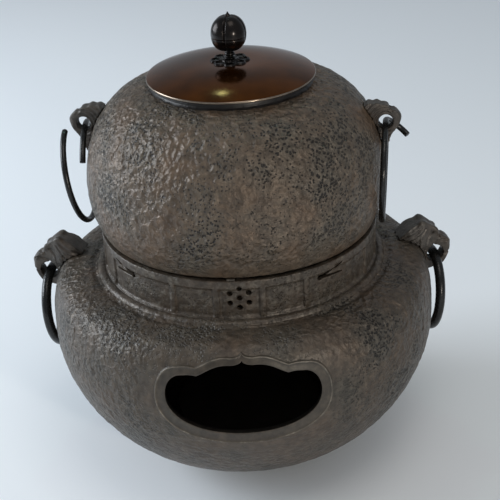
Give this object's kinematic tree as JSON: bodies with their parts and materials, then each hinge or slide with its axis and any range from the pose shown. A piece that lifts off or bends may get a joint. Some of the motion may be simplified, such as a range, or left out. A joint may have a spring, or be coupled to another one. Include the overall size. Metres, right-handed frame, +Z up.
{
  "type": "iron tea kettle on a brazier",
  "caption": "Round cast-iron tea kettle with a domed bronze lid and ring handles, sitting on a bowl-shaped cast-iron brazier with a fire window.",
  "frame": {"origin": "on the floor, under the middle of the brazier", "axes": "+Z up through the lid's knob; the fire window faces -Y; the brazier's lugs stand at -X and +X"},
  "size_m": [0.3786, 0.3372, 0.4044],
  "materials": {
    "iron": "rough cast skin, brown-grey patina",
    "kettle_iron": "leathery cast skin, brown-grey patina",
    "ring_iron": "forged, smooth, black",
    "plate_iron": "thin rusted sheet",
    "lid_bronze": "polished dark copper-brown patina",
    "knob_bronze": "glossy black patina",
    "fired_clay": "smoked fired clay, matte"
  },
  "bodies": {
    "brazier": {"brazier_body": "iron", "brazier_foot_front": "iron", "brazier_foot_rear_left": "iron", "brazier_foot_rear_right": "iron", "brazier_lug_left": "iron", "brazier_lug_right": "iron", "floor_tile": "fired_clay"},
    "left_brazier_ring": {"brazier_ring_left": "ring_iron"},
    "right_brazier_ring": {"brazier_ring_right": "ring_iron"},
    "kettle": {"kettle_body": "kettle_iron", "kettle_lug_left": "kettle_iron", "kettle_lug_right": "kettle_iron", "singing_plates": "plate_iron"},
    "left_kettle_ring": {"kettle_ring_left": "ring_iron"},
    "right_kettle_ring": {"kettle_ring_right": "ring_iron"},
    "lid": {"lid_plate": "lid_bronze", "lid_inner_ring": "lid_bronze", "knob_seat": "knob_bronze", "knob_stem": "knob_bronze", "knob_bud": "knob_bronze", "knob_washer": "knob_bronze"}
  },
  "joints": [
    {"name": "kettle_lift", "type": "slide", "parent": "brazier", "child": "kettle", "axis": [0, 0, 1], "range_m": [0, 0.12]},
    {"name": "lid_lift", "type": "slide", "parent": "kettle", "child": "lid", "axis": [0, 0, 1], "range_m": [0, 0.08]},
    {"name": "left_brazier_ring_swing", "type": "hinge", "parent": "brazier", "child": "left_brazier_ring", "pos_m": [-0.17429, 0.02449, 0.165], "axis": [0.1392, 0.9903, 0], "range_deg": [0, 140]},
    {"name": "right_brazier_ring_swing", "type": "hinge", "parent": "brazier", "child": "right_brazier_ring", "pos_m": [0.17429, 0.02449, 0.165], "axis": [0.1392, -0.9903, 0], "range_deg": [0, 140]},
    {"name": "left_kettle_ring_swing", "type": "hinge", "parent": "kettle", "child": "left_kettle_ring", "pos_m": [-0.1263, 0.01328, 0.308], "axis": [0, 1, 0], "range_deg": [0, 110]},
    {"name": "right_kettle_ring_swing", "type": "hinge", "parent": "kettle", "child": "right_kettle_ring", "pos_m": [0.1263, -0.01328, 0.308], "axis": [-0.1357, -0.9907, 0], "range_deg": [0, 110]}
  ]
}
